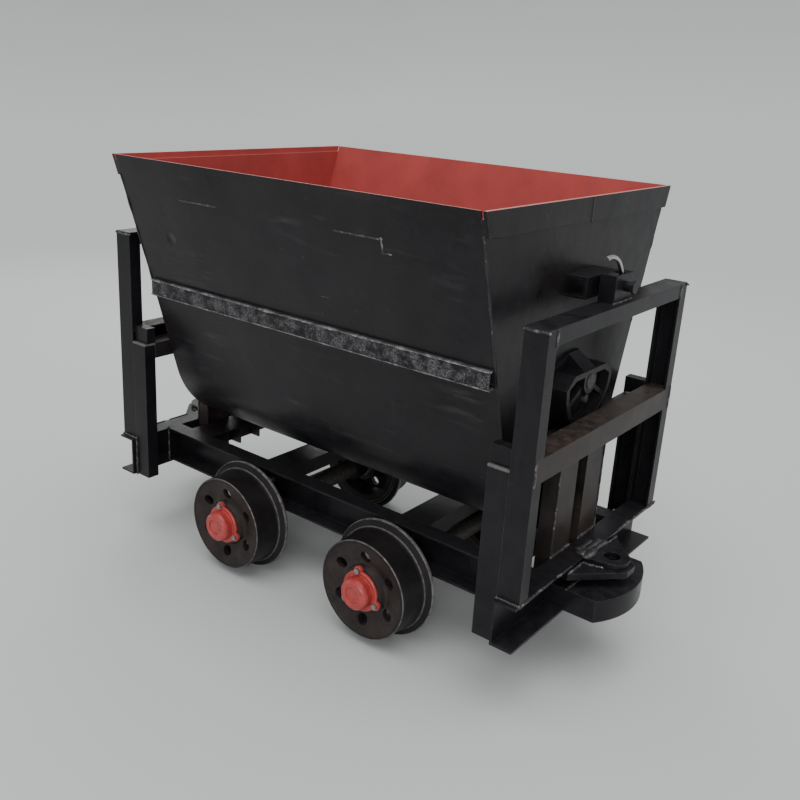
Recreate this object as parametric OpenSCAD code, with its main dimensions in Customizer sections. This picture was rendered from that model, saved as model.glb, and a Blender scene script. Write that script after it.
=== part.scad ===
// Side-tipping mine car for narrow-gauge track. A steel bucket with rocker castings
// on its end walls rolls sideways on two end frames, which stand on an underframe
// with four flanged wheels. Millimetres, +Z up, +X towards the end with the latch.
// Heights of the bucket and the end frames are set above the deck, the top of the
// underframe. Everything is raised by the wheel flange's depth, so that Z = 0 is the
// lowest point of the wheels.

/* [Bucket] */
// Length over the end walls
bucket_length = 1272; // [900:1:1800]
// Width over the top edges of the side plates
bucket_width = 980; // [760:1:1300]
// Height of the rim above the deck
rim_rise = 937; // [860:1:1250]
// Width over the knuckles, where the upper and lower plates meet
knuckle_width = 740; // [560:1:900]
// Height of the knuckles above the deck
knuckle_rise = 555; // [500:1:670]
// Outer radius of the rounded bottom
bottom_radius = 288; // [200:1:330]
// Gap between the bucket's underside and the deck
belly_gap = 31; // [20:1:80]
// Side plate thickness
side_t = 5; // [3:0.5:10]
// Trough plate thickness
trough_t = 8; // [3:0.5:12]
// End wall thickness
end_t = 6; // [4:0.5:12]
// Height of the flat bar along each end wall's top edge
band_h = 60; // [40:1:100]
// Thickness of that flat bar
band_t = 10; // [6:1:16]
// Distance of the end wall's top edge below the rim
band_lip = 18; // [0:1:30]
// Height of the knuckle stiffener's outer face
knuckle_bar_h = 49; // [30:1:70]
// Stand-off of the stiffener's outer face from the knuckle
knuckle_bar_out = 10; // [6:1:24]
// Knuckle stiffener plate thickness
knuckle_bar_t = 5; // [3:0.5:8]
// Distance of the stiffener's ends inside the end walls
knuckle_bar_inset = 14; // [0:1:60]

/* [Rocker] */
// Height of the track the rockers roll on, above the deck
track_rise = 338; // [300:1:420]
// Rolling radius of the rocker castings
rocker_r = 127; // [90:1:150]
// Running gap under the rocker
rocker_gap = 0.3; // [0.1:0.1:1]
// Thickness of the rocker along the car
rocker_w = 54; // [40:1:60]
// Half width of the rocker's flat top
rocker_top_half = 88; // [50:1:100]
// Height of the rocker's flat top above its centre
rocker_top_rise = 32; // [20:1:50]
// Rim thickness of the rocker casting
rocker_rim = 15; // [10:1:25]
// Web thickness of the rocker casting
rocker_web = 14; // [8:1:25]
// Hub radius of the rocker casting
rocker_hub_r = 34; // [28:1:45]
// Thickness of the backing plate between end wall and rocker
backing_t = 10; // [6:1:16]
// Width of the backing plate's edge beyond the rocker
backing_lip = 8; // [4:1:20]
// Radius of the centre pin in the rocker
centre_pin_r = 20; // [12:1:25]
// Radial running clearance of pins and shafts in their holes
run_fit = 0.05; // [0.02:0.01:0.1]
// Distance of the rocker bolts' centres inside the rocker's rim
rocker_bolt_edge = 24; // [16:1:40]
// Bolt shank radius of the rocker bolts
rocker_bolt_r = 8; // [5:0.5:12]

/* [End frames] */
// Gap between end wall and end frame along the car
frame_gap = 12; // [8:1:30]
// Width of the posts and the rocker track along the car
track_w = 61; // [56:1:90]
// Depth of the end frame members along the car
portal_w = 64; // [50:1:90]
// Width over the end frame legs
portal_width = 790; // [700:1:1000]
// Height of the end frame's top above the deck
portal_rise = 688; // [640:1:780]
// Flange depth of the end frame channels
portal_flange = 40; // [30:1:55]
// Wall thickness of the end frame channels
portal_t = 6; // [4:0.5:10]
// Depth of the track channel below its top
track_depth = 51; // [40:1:70]
// Cap plate thickness on the posts
cap_t = 6; // [4:1:10]
// Height of the tie bar's face
tie_h = 62; // [40:1:80]
// Height of the tie bar's top above the track
tie_rise = 39; // [25:1:50]
// Width of each track support
support_w = 100; // [70:1:120]
// Gap between the two track supports of one end
support_gap = 54; // [40:1:80]
// Flange depth of the track supports
support_flange = 46; // [30:1:55]
// Height of the stop blocks on the track
stop_h = 50; // [15:1:60]
// Length of the stop blocks
stop_l = 32; // [15:1:40]
// Distance of the stop blocks from the posts' outer faces
stop_edge = 10; // [0:1:20]

/* [Underframe] */
// Distance from the axle centre up to the underside of the sills
axle_to_sill = 49; // [44:1:80]
// Depth of the side sills
sill_h = 114; // [90:1:140]
// Half distance between the inner faces of the side sills
sill_in = 205; // [170:1:215]
// Flange width of the side sills
sill_w = 55; // [45:1:60]
// Wall thickness of the side sills and end beams
sill_t = 6; // [4:0.5:10]
// Depth of the end beams
beam_h = 126; // [110:1:150]
// Overhang of the end beams beyond the legs
beam_overhang = 15; // [0:1:60]
// Width of each cross member over an axle
cross_w = 100; // [80:1:140]
// Depth of the cross members
cross_h = 48; // [40:1:60]
// Drop of the cross members below the sill tops
cross_drop = 32; // [0:1:50]
// Length of the tie plates behind the end beams
tie_plate_l = 103; // [60:1:150]

/* [Wheels] */
// Distance between the axles
wheelbase = 562; // [480:1:640]
// Tread diameter
wheel_d = 300; // [260:1:380]
// Depth of the wheel flange beyond the tread
flange_depth = 25; // [18:1:30]
// Half distance between the flange back faces
flange_back = 278; // [270:1:290]
// Width of the wheel from flange back to tread face
wheel_w = 112; // [100:1:130]
// Radius of the axle between the wheels
axle_r = 32.5; // [28:0.5:40]
// Radius of the axle at the inner bearings
inner_journal_r = 30; // [24:0.5:36]
// Radius of the axle at the outer bearings
outer_journal_r = 25; // [20:0.5:30]
// Outer radius of the inner bearings
inner_bearing_r = 45; // [40:0.5:55]
// Outer radius of the outer bearings
outer_bearing_r = 40; // [35:0.5:50]
// Radius of the lightening holes in the wheel web
web_hole_r = 17; // [10:1:20]
// Radius of the circle the lightening holes lie on
web_hole_pcr = 98; // [90:1:110]
// Radius of the circle the hub cap bolts lie on
cap_bolt_pcr = 62; // [56:1:70]
// Length of the hub cap beyond the wheel face
cap_len = 40; // [25:1:60]
// Thickness of the hub cap's ears
cap_ear_t = 9; // [6:1:14]
// Recess of the hub's face, and of the cap's, behind the ears' seats
cap_seat = 0.5; // [0.2:0.1:2]

/* [Coupler] */
// Reach of the bumper beyond the end beam
bumper_reach = 132; // [100:1:180]
// Width of the bumper
bumper_width = 286; // [200:1:340]
// Radius of the bumper's round front
bumper_nose_r = 241; // [180:1:400]
// Height of the bumper block
bumper_h = 63; // [46:1:70]
// Radius of the coupling pin holes
pin_hole_r = 23; // [15:0.5:30]
// Distance of the pin hole beyond the end beam
pin_hole_out = 55; // [45:1:80]
// Thickness of the coupler plate
lug_t = 18; // [10:1:22]
// Thickness of the lug on top of the coupler plate
lug_doubler_t = 17; // [8:1:22]
// Half width of that lug at the beam
lug_half = 60; // [50:1:80]
// Radius of the lug's round nose
lug_nose_r = 48; // [36:1:60]
// Distance of the coupler plate's nose behind the bumper's
lug_set_back = 20; // [0:1:40]

/* [Latch] */
// Radius of the sliding latch bolt
latch_r = 13; // [8:0.5:16]
// Stroke of the latch bolt
latch_stroke = 16; // [12:1:18]
// Height of the latch bolt above the end frame's top
latch_rise = 38; // [30:1:50]
// Distance of the latch bolt to the side of the car's middle
latch_y = 20; // [0:1:40]
// Height of the latch housing
latch_housing_h = 70; // [64:1:100]
// Depth of the latch housing along the car
latch_depth = 44; // [42:1:60]
// Cheek plate thickness of the latch housing
latch_cheek = 6; // [4:1:7]
// Gap between the retracted bolt's tip and its keeper
latch_tip_gap = 3; // [2:0.5:5]
// Thickness of the keeper's plates
keeper_t = 8; // [5:1:12]
// Clearance around the latch bolt in its keeper
keeper_fit = 2; // [1:0.5:4]
// Radius of the handle bar
handle_r = 6; // [5:0.5:9]
// Bend radius of the handle
handle_bend = 80; // [60:1:110]

/* [Hidden] */
$fn = 96;

// Derived positions along the car
end_x = bucket_length / 2;
post_x = end_x + frame_gap;
beam_x = post_x + track_w;
portal_x = beam_x + portal_w;
rocker_x = end_x + backing_t;
rocker_front = rocker_x + rocker_w;
bumper_x = portal_x + bumper_reach;
pin_x = portal_x + pin_hole_out;

// Derived heights above the rail top
axle_z = wheel_d / 2;
sill_bottom = axle_z + axle_to_sill;
deck_z = sill_bottom + sill_h;
rim_height = deck_z + rim_rise;
knuckle_height = deck_z + knuckle_rise;
belly_height = deck_z + belly_gap;
track_height = deck_z + track_rise;
portal_height = deck_z + portal_rise;
beam_bottom = deck_z - beam_h;
rocker_z = track_height + rocker_gap + rocker_r;
rocker_bolt_pcr = rocker_r - rocker_rim - rocker_bolt_edge;
track_bottom = track_height - track_depth;
tie_top = track_height + tie_rise;
tie_bottom = tie_top - tie_h;
plate_top = deck_z - lug_doubler_t;
latch_z = portal_height + latch_rise;
latch_tip = beam_x - 9;
keeper_x = latch_tip - latch_tip_gap;

// Derived widths
half_portal = portal_width / 2;
flange_in = half_portal - portal_flange;
sill_out = sill_in + sill_w;
stop_y = half_portal - stop_edge - stop_l;

// Bucket section: the knuckle point, the rounded bottom's centre and the tangent
// from the knuckle to it
kn_y = knuckle_width / 2;
bot_z = belly_height + bottom_radius;
kn_dist = sqrt(pow(kn_y, 2) + pow(knuckle_height - bot_z, 2));
tan_a = atan2(knuckle_height - bot_z, kn_y) - acos(bottom_radius / kn_dist);
tan_y = bottom_radius * cos(tan_a);
tan_z = bot_z + bottom_radius * sin(tan_a);
flare = (bucket_width / 2 - kn_y) / (rim_height - knuckle_height);
side_ty = side_t * sqrt(1 + flare * flare);
low_slope = (kn_y - tan_y) / (knuckle_height - tan_z);
trough_ty = trough_t * sqrt(1 + low_slope * low_slope);
function side_y(z) = kn_y + (z - knuckle_height) * flare;
function low_y(z) = kn_y + (z - knuckle_height) * low_slope;

// Everything below is placed by its height above the rail top.
module lift() translate([0, 0, flange_depth]) children();

// A flat profile in Y and Z, pulled along X from x0 to x1.
module yz(points, x0, x1) translate([x0, 0, 0]) rotate([90, 0, 90])
    linear_extrude(x1 - x0) polygon(points);

// A flat profile in X and Z, pulled along Y from y0 to y1.
module xz(points, y0, y1) translate([0, y1, 0]) rotate([90, 0, 0])
    linear_extrude(y1 - y0) polygon(points);

// A round bar along X.
module bar_x(r, x0, x1, y, z) translate([x0, y, z]) rotate([0, 90, 0])
    cylinder(r = r, h = x1 - x0);

// A box from two corners.
module box(a, b) translate(a) cube(b - a);

// Both ends of the car, the second turned half a turn about Z.
module ends() for (a = [0, 180]) rotate([0, 0, a]) children();

// The four quarters of the car.
module quarters() for (mx = [0, 1], my = [0, 1])
    mirror([mx, 0, 0]) mirror([0, my, 0]) children();

// A hexagon bolt head or nut along Z, by its width across flats.
module hex(af, h) cylinder(r = af / sqrt(3), h = h, $fn = 6);

// ---------------------------------------------------------------- bucket

// A solid with the outline of the lower bucket, up to height z1.
module low_block(r, y_top, z_top, z1, x0, x1) {
    s = low_slope;
    ty = r * cos(tan_a);
    tz = bot_z + r * sin(tan_a);
    y1 = y_top + (z1 - z_top) * s;
    intersection() {
        union() {
            yz([[-ty, tz], [ty, tz], [y1, z1], [-y1, z1]], x0, x1);
            bar_x(r, x0, x1, 0, bot_z, $fn = 192);
        }
        box([x0 - 1, -bucket_width, bot_z - r - 1], [x1 + 1, bucket_width, z1]);
    }
}

module side_plates() color("#1b1a1c") lift() for (m = [0, 1]) mirror([0, m, 0])
    yz([[kn_y, knuckle_height], [bucket_width / 2, rim_height],
        [bucket_width / 2 - side_ty, rim_height], [kn_y - side_ty, knuckle_height]],
        -end_x + end_t, end_x - end_t);

module trough() color("#1b1a1c") lift() difference() {
    low_block(bottom_radius, kn_y, knuckle_height, knuckle_height,
        -end_x + end_t, end_x - end_t);
    low_block(bottom_radius - trough_t, kn_y - trough_ty, knuckle_height,
        knuckle_height + 20, -end_x, end_x);
}

module end_walls() color("#1b1a1c") lift() ends() union() {
    low_block(bottom_radius, kn_y, knuckle_height, knuckle_height, end_x - end_t, end_x);
    yz([[-kn_y, knuckle_height], [kn_y, knuckle_height],
        [side_y(rim_height - band_lip), rim_height - band_lip],
        [-side_y(rim_height - band_lip), rim_height - band_lip]], end_x - end_t, end_x);
}

module rim_bands() color("#232123") lift() ends()
    yz([[-bucket_width / 2, rim_height], [bucket_width / 2, rim_height],
        [side_y(rim_height - band_h), rim_height - band_h],
        [-side_y(rim_height - band_h), rim_height - band_h]], end_x, end_x + band_t);

module knuckle_bars() color("#8d8a88") lift() for (m = [0, 1]) mirror([0, m, 0]) {
    x1 = end_x - knuckle_bar_inset;
    yo = kn_y + knuckle_bar_out;
    z1 = knuckle_height;
    z0 = knuckle_height - knuckle_bar_h;
    t = knuckle_bar_t;
    yz([[kn_y, z1], [yo, z1], [yo, z0], [low_y(z0), z0], [low_y(z0 + t), z0 + t],
        [yo - t, z0 + t], [yo - t, z1 - t], [low_y(z1 - t), z1 - t]], -x1, x1);
}

module backing_plates() color("#1f1e20") lift() ends() difference() {
    w = rocker_r + backing_lip;
    h = rocker_top_half + backing_lip + 6;
    low = rocker_z - rocker_r + 12;
    mid = rocker_z + rocker_top_rise + 10;
    top = mid + 28;
    yz([[-w, low], [w, low], [w, rocker_z + 10], [h, mid], [30, top], [-30, top],
        [-h, mid], [-w, rocker_z + 10]], end_x, rocker_x);
    rocker_bolt_holes(end_x - 1, rocker_x + 1);
}

// ---------------------------------------------------------------- rocker

// Rocker outline: a half disc below its centre and a bevelled block above it.
module rocker_outline(r, top_half, rise, x0, x1) {
    intersection() {
        bar_x(r, x0, x1, 0, rocker_z, $fn = 192);
        box([x0 - 1, -r - 1, rocker_z - r - 1], [x1 + 1, r + 1, rocker_z]);
    }
    yz([[-r, rocker_z], [r, rocker_z], [top_half, rocker_z + rise],
        [-top_half, rocker_z + rise]], x0, x1);
}

// Places a child at each of a rocker's four bolts.
module at_rocker_bolts() for (a = [-52, -8, 188, 232])
    translate([0, rocker_bolt_pcr * cos(a), rocker_z + rocker_bolt_pcr * sin(a)]) children();

module rocker_bolt_holes(x0, x1) at_rocker_bolts()
    bar_x(rocker_bolt_r + 0.5, x0, x1, 0, 0);

module rockers() color("#242326") lift() ends() difference() {
    union() {
        rocker_outline(rocker_r, rocker_top_half, rocker_top_rise, rocker_x, rocker_front);
        // sloping crown between the flat top and the backing plate
        xz([[rocker_x, rocker_z + rocker_top_rise - 1],
            [rocker_front - 4, rocker_z + rocker_top_rise - 1],
            [rocker_x, rocker_z + rocker_top_rise + 36]], -30, 30);
    }
    // hollow between rim, hub and ribs
    difference() {
        rocker_outline(rocker_r - rocker_rim, rocker_top_half - rocker_rim * 0.6,
            rocker_top_rise - rocker_rim, rocker_x + rocker_web, rocker_front + 1);
        bar_x(rocker_hub_r, rocker_x, rocker_front + 2, 0, rocker_z);
        for (a = [60, 180, 300]) translate([0, 0, rocker_z]) rotate([180 + a, 0, 0])
            box([rocker_x, -6, 0], [rocker_front - 8, 6, a == 180 ? 0.5 * rocker_r : rocker_r]);
    }
    bar_x(centre_pin_r + run_fit, rocker_x + 4, rocker_front + 1, 0, rocker_z);
    rocker_bolt_holes(rocker_x - 1, rocker_front + 1);
}

module rocker_bolts() color("#6f6c69") lift() ends() at_rocker_bolts() {
    rotate([0, 90, 0]) translate([0, 0, rocker_x + rocker_web]) hex(22, 10);
    bar_x(rocker_bolt_r, end_x, rocker_x + rocker_web + 1, 0, 0);
}

module centre_pins() color("#8a8784") lift() ends()
    bar_x(centre_pin_r, rocker_x + 5, rocker_front + 2, 0, rocker_z);

module latch_keeper() color("#2a292b") lift() {
    x1 = keeper_x;
    z0 = latch_z - 30;
    z1 = latch_z + 25;
    difference() {
        union() {
            box([x1 - keeper_t, -85, z0], [x1, 85, z1]);
            box([end_x, -85, z0], [x1 - keeper_t, 85, z0 + 6]);
            box([end_x, -85, z1 - 6], [x1 - keeper_t, 85, z1]);
        }
        w = latch_r + keeper_fit;
        box([x1 - keeper_t - 1, latch_y - w, latch_z - w], [x1 + 1, latch_y + w, latch_z + w]);
    }
}

// ---------------------------------------------------------------- underframe

module side_sills() color("#1d1c1f") lift() for (m = [0, 1]) mirror([0, m, 0]) difference() {
    union() {
        box([-beam_x, sill_in, sill_bottom], [beam_x, sill_in + sill_t, deck_z]);
        box([-beam_x, sill_in, sill_bottom], [beam_x, sill_out, sill_bottom + sill_t]);
        box([-beam_x, sill_in, deck_z - sill_t], [beam_x, sill_out, deck_z]);
    }
    for (s = [-1, 1]) seat_holes(s * wheelbase / 2);
    at_web_bolts() translate([0, 0, -sill_t - 1]) cylinder(r = web_bolt_r + 0.5, h = sill_t + 2);
}

module end_beams() color("#1d1c1f") lift() ends() {
    w = half_portal + beam_overhang;
    box([beam_x, -w, beam_bottom], [beam_x + sill_t, w, deck_z]);
    box([beam_x, -w, beam_bottom], [portal_x, w, beam_bottom + sill_t]);
    box([beam_x, -w, deck_z - sill_t], [portal_x, w, deck_z]);
}

module cross_members() color("#1d1c1f") lift() ends() {
    x0 = wheelbase / 2 - cross_w / 2;
    x1 = wheelbase / 2 + cross_w / 2;
    z1 = deck_z - cross_drop;
    box([x0, -sill_in, z1 - sill_t], [x1, sill_in, z1]);
    box([x0, -sill_in, z1 - cross_h], [x0 + sill_t, sill_in, z1]);
    box([x1 - sill_t, -sill_in, z1 - cross_h], [x1, sill_in, z1]);
}

module tie_plates() color("#1d1c1f") lift() ends() {
    x1 = beam_x - support_flange;
    box([x1 - tie_plate_l, -sill_in, deck_z - 2 * sill_t],
        [x1, sill_in, deck_z - sill_t]);
}

seat_y = (sill_in + sill_t + sill_out) / 2;
seat_bolt_x = 66;
seat_bolt_r = 8;
seat_t = 12;
seat_r = axle_to_sill - 7;

module seat_holes(x) for (d = [-1, 1])
    translate([x + d * seat_bolt_x, seat_y, sill_bottom - seat_t - 1])
        cylinder(r = seat_bolt_r + 0.5, h = seat_t + sill_t + 2);

module axle_seats() color("#2b2a2c") lift() quarters() difference() {
    x = wheelbase / 2;
    y0 = sill_in + sill_t;
    y1 = sill_out - 2;
    union() {
        box([x - 84, y0, sill_bottom - seat_t], [x + 84, y1, sill_bottom]);
        box([x - seat_r, y0, axle_z], [x + seat_r, y1, sill_bottom - seat_t + 1]);
        translate([x, y1, axle_z]) rotate([90, 0, 0]) cylinder(r = seat_r, h = y1 - y0);
    }
    translate([x, y1 + 1, axle_z]) rotate([90, 0, 0])
        cylinder(r = axle_r + run_fit, h = y1 - y0 + 2);
    seat_holes(x);
}

module seat_bolts() color("#8b8886") lift() quarters() for (d = [-1, 1])
    translate([wheelbase / 2 + d * seat_bolt_x, seat_y, sill_bottom - seat_t]) {
        translate([0, 0, -10]) hex(24, 10);
        cylinder(r = seat_bolt_r, h = seat_t + sill_t + 20);
        translate([0, 0, seat_t + sill_t]) hex(24, 13);
    }

web_bolt_r = 8;

// The bolts through the sill webs at the cross members' ends, on the webs' outer faces.
module at_web_bolts() for (s = [-1, 1], d = [-1, 1])
    translate([s * wheelbase / 2 + d * 28, sill_in + sill_t, deck_z - cross_drop - cross_h / 2 - 4])
        rotate([-90, 0, 0]) children();

module web_bolts() color("#8b8886") lift() for (m = [0, 1]) mirror([0, m, 0]) at_web_bolts() {
    hex(24, 13);
    translate([0, 0, -sill_t - 10]) hex(24, 10);
    translate([0, 0, -sill_t - 5]) cylinder(r = web_bolt_r, h = sill_t + 24);
}

module axles() color("#3a3836") lift() for (s = [-1, 1])
    translate([s * wheelbase / 2, 0, axle_z]) rotate([90, 0, 0]) {
        b = flange_back;
        translate([0, 0, -b - 1.5]) cylinder(r = axle_r, h = 2 * b + 3);
        translate([0, 0, -b - 25]) cylinder(r = inner_journal_r, h = 2 * b + 50);
        translate([0, 0, -b - wheel_w + 5]) cylinder(r = outer_journal_r, h = 2 * (b + wheel_w - 5));
        translate([0, 0, -b - wheel_w - 18])
            cylinder(r = outer_journal_r - 5, h = 2 * (b + wheel_w + 18));
    }

module axle_nuts() color("#8b8886") lift() for (sx = [-1, 1], sy = [-1, 1])
    wheel_place(sx, sy) translate([0, 0, wheel_w - 5]) difference() {
        union() {
            cylinder(r = outer_journal_r + 5, h = 3);
            translate([0, 0, 3]) hex(50, 15);
        }
        translate([0, 0, -1]) cylinder(r = outer_journal_r - 5, h = 20);
    }

// ---------------------------------------------------------------- end frames

module portal_legs() color("#201f22") lift() quarters() difference() {
    union() {
        box([beam_x, half_portal - portal_t, deck_z],
            [portal_x, half_portal, portal_height - portal_t]);
        for (x = [beam_x, portal_x - portal_t])
            box([x, flange_in, deck_z],
                [x + portal_t, half_portal, portal_height - portal_t]);
    }
    box([beam_x - 1, flange_in - 1, tie_bottom],
        [portal_x + 1, half_portal - portal_t, tie_top]);
}

module top_bars() color("#201f22") lift() ends() {
    box([beam_x, -half_portal, portal_height - portal_t], [portal_x, half_portal, portal_height]);
    for (x = [beam_x, portal_x - portal_t])
        box([x, -flange_in, portal_height - portal_flange],
            [x + portal_t, flange_in, portal_height]);
}

module tie_bars() color("#201f22") lift() ends() {
    y = half_portal - portal_t;
    box([portal_x - portal_t, -y, tie_bottom], [portal_x, y, tie_top]);
    box([beam_x, -y, tie_top - portal_t], [portal_x, y, tie_top]);
    box([beam_x, -y, tie_bottom], [portal_x, y, tie_bottom + portal_t]);
}

module track_rails() color("#3d3a38") lift() ends() {
    box([post_x, -flange_in, track_height - portal_t], [beam_x, flange_in, track_height]);
    for (x = [post_x, beam_x - portal_t])
        box([x, -flange_in, track_bottom], [x + portal_t, flange_in, track_height]);
}

module posts() color("#201f22") lift() quarters() {
    z1 = track_height - cap_t;
    box([post_x, half_portal - portal_t, beam_bottom], [beam_x, half_portal, z1]);
    for (x = [post_x, beam_x - portal_t])
        box([x, flange_in, beam_bottom], [x + portal_t, half_portal, z1]);
}

module post_caps() color("#8d8a88") lift() quarters()
    box([post_x, flange_in, track_height - cap_t], [beam_x, half_portal, track_height]);

module stop_blocks() color("#2a292b") lift() quarters()
    box([post_x, stop_y, track_height], [beam_x, stop_y + stop_l, track_height + stop_h]);

module supports() color("#201f22") lift() ends() for (s = [-1, 1]) {
    y0 = s > 0 ? support_gap / 2 : -support_gap / 2 - support_w;
    y1 = y0 + support_w;
    box([beam_x - portal_t, y0, beam_bottom], [beam_x, y1, track_bottom]);
    for (y = [y0, y1 - portal_t])
        box([beam_x - support_flange, y, beam_bottom], [beam_x, y + portal_t, track_bottom]);
}

// ---------------------------------------------------------------- coupler

module pin_hole() translate([pin_x, 0, beam_bottom - 50]) cylinder(r = pin_hole_r, h = 400);

// The bumper's root stands on the beam's lower flange, behind its edge.
module bumpers() color("#1a191b") lift() ends() difference() {
    intersection() {
        translate([bumper_x - bumper_nose_r, 0, beam_bottom])
            cylinder(r = bumper_nose_r, h = bumper_h, $fn = 192);
        box([beam_x + sill_t, -bumper_width / 2, beam_bottom - 1],
            [bumper_x + 1, bumper_width / 2, beam_bottom + bumper_h + 1]);
    }
    box([beam_x, -bumper_width, beam_bottom - 2],
        [portal_x, bumper_width, beam_bottom + sill_t]);
    pin_hole();
}

module coupler_plates() color("#232224") lift() ends() difference() {
    w = bumper_width / 2;
    nose = bumper_x - lug_set_back;
    translate([0, 0, plate_top - lug_t]) linear_extrude(lug_t)
        polygon([[beam_x + sill_t, -w], [portal_x, -w], [nose - 5, -pin_hole_r - 8],
            [nose, -pin_hole_r], [nose, pin_hole_r], [nose - 5, pin_hole_r + 8],
            [portal_x, w], [beam_x + sill_t, w]]);
    pin_hole();
}

// Tangent from the lug's corner at the beam to its round nose.
lug_d = sqrt(pow(pin_hole_out, 2) + pow(lug_half, 2));
lug_a = atan2(lug_half, -pin_hole_out) - acos(lug_nose_r / lug_d);

module lug_doublers() color("#2a292b") lift() ends() difference() {
    tx = pin_x + lug_nose_r * cos(lug_a);
    ty = lug_nose_r * sin(lug_a);
    union() {
        translate([0, 0, plate_top]) linear_extrude(lug_doubler_t)
            polygon([[portal_x, -lug_half], [tx, -ty], [tx, ty], [portal_x, lug_half]]);
        translate([pin_x, 0, plate_top]) cylinder(r = lug_nose_r, h = lug_doubler_t);
    }
    pin_hole();
}

// ---------------------------------------------------------------- latch

latch_front = beam_x + latch_depth;

module latch_housing() color("#201f22") lift() difference() {
    z0 = portal_height;
    z1 = portal_height + latch_housing_h;
    y0 = latch_y - 60;
    y1 = latch_y + 40;
    union() {
        for (x = [beam_x, latch_front - latch_cheek])
            box([x, y0, z0], [x + latch_cheek, y1, z1]);
        box([beam_x + latch_cheek, y0, z0], [latch_front - latch_cheek, y0 + 6, z1]);
        box([beam_x + latch_cheek, y1 - 28, z1 - 6], [latch_front - latch_cheek, y1, z1]);
    }
    bar_x(latch_r + run_fit, beam_x - 1, latch_front + 1, latch_y, latch_z);
}

module latch_bolt() color("#8b8886") lift() {
    x1 = latch_front + latch_stroke + 2;
    bar_x(latch_r, latch_tip, x1, latch_y, latch_z);
    translate([x1, latch_y, latch_z]) rotate([0, 90, 0]) hex(30, 8);
}

// A bar bent to one arc, rising from the bolt and over to the side.
module latch_handle() color("#b9b5b0") lift() {
    x = latch_front - latch_cheek - handle_r - 2;
    difference() {
        translate([x, latch_y - handle_bend, latch_z]) rotate([90, 0, 90])
            rotate_extrude(angle = 105) translate([handle_bend, 0]) circle(r = handle_r);
        bar_x(latch_r, x - 20, x + 20, latch_y, latch_z);
    }
}

// ---------------------------------------------------------------- wheels

// A wheel's own frame: Z along the axle, outwards from the flange's back face.
module wheel_place(sx, sy) translate([sx * wheelbase / 2, sy * flange_back, axle_z])
    rotate([-90 * sy, 0, 0]) children();

cap_angles = [98, 218, 338];

module at_cap_bolts(sy) for (a = cap_angles)
    rotate([0, 0, -sy * a]) translate([cap_bolt_pcr, 0, 0]) children();

module wheel(sx, sy) color("#2d2b2c") lift() wheel_place(sx, sy) difference() {
    union() {
        r = wheel_d / 2;
        w = wheel_w;
        f = flange_depth;
        rim = r - 32;
        rotate_extrude($fn = 192) polygon([
            [inner_bearing_r, -2], [62, -2], [66, w - 52], [74, w - 34], [rim - 2, w - 27],
            [rim + 4, w - 32], [rim + 4, 0], [r + f - 8, 0], [r + f - 1.5, 5], [r + f, 10], [r + f - 1.5, 15],
            [r + 6, 24], [r + 1.5, 28], [r, 33], [r - 3, w - 3], [r - 6, w], [r - 10, w - 0.5],
            [r - 15, w - 4], [82, w - 16], [72, w - 14], [66, w - cap_seat],
            [outer_bearing_r, w - cap_seat], [outer_bearing_r, w - 28], [36, w - 28],
            [36, 25], [inner_bearing_r, 25]]);
        at_cap_bolts(sy) translate([0, 0, w - 26]) cylinder(r = 14, h = 26);
    }
    for (a = [-30 : 60 : 270]) rotate([0, 0, a]) translate([web_hole_pcr, 0, 20])
        cylinder(r = web_hole_r, h = wheel_w);
    at_cap_bolts(sy) translate([0, 0, wheel_w - 22]) cylinder(r = 5 + run_fit, h = 30);
}

module ring(r0, r1, z0, z1) translate([0, 0, z0]) difference() {
    cylinder(r = r1, h = z1 - z0);
    translate([0, 0, -1]) cylinder(r = r0, h = z1 - z0 + 2);
}

module bearings(sx, sy) color("#a7a5a2") lift() wheel_place(sx, sy) {
    ring(inner_journal_r + run_fit, inner_bearing_r - run_fit, 3, 24);
    ring(outer_journal_r + run_fit, outer_bearing_r - run_fit, wheel_w - 27, wheel_w - 8);
    ring(axle_r + 1, inner_bearing_r - run_fit, -2, 1);
}

module hub_cap(sx, sy) color("#b5433d") lift() wheel_place(sx, sy) difference() {
    w = wheel_w;
    union() {
        at_cap_bolts(sy) translate([0, 0, w]) cylinder(r = 13, h = cap_ear_t);
        rotate_extrude() polygon([[0, w + cap_seat], [60, w + cap_seat], [60, w + cap_ear_t - 3],
            [58, w + cap_ear_t - 1], [48, w + cap_ear_t - 1], [47, w + cap_len - 12],
            [44, w + cap_len - 5], [38, w + cap_len], [0, w + cap_len]]);
    }
    translate([0, 0, w - 1]) cylinder(r = 36, h = cap_len - 9);
    translate([0, 0, w + cap_len - 4]) cylinder(r = 26, h = 5);
    at_cap_bolts(sy) translate([0, 0, w - 1]) cylinder(r = 5.3, h = cap_ear_t + 2);
}

module cap_bolts(sx, sy) color("#9a9794") lift() wheel_place(sx, sy) at_cap_bolts(sy) {
    translate([0, 0, wheel_w - 20]) cylinder(r = 5, h = cap_ear_t + 21);
    translate([0, 0, wheel_w + cap_ear_t]) hex(16, 7);
}

module wheel_1() wheel(1, -1);
module wheel_2() wheel(-1, -1);
module wheel_3() wheel(1, 1);
module wheel_4() wheel(-1, 1);
module bearings_1() bearings(1, -1);
module bearings_2() bearings(-1, -1);
module bearings_3() bearings(1, 1);
module bearings_4() bearings(-1, 1);
module hub_cap_1() hub_cap(1, -1);
module hub_cap_2() hub_cap(-1, -1);
module hub_cap_3() hub_cap(1, 1);
module hub_cap_4() hub_cap(-1, 1);
module cap_bolts_1() cap_bolts(1, -1);
module cap_bolts_2() cap_bolts(-1, -1);
module cap_bolts_3() cap_bolts(1, 1);
module cap_bolts_4() cap_bolts(-1, 1);

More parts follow.
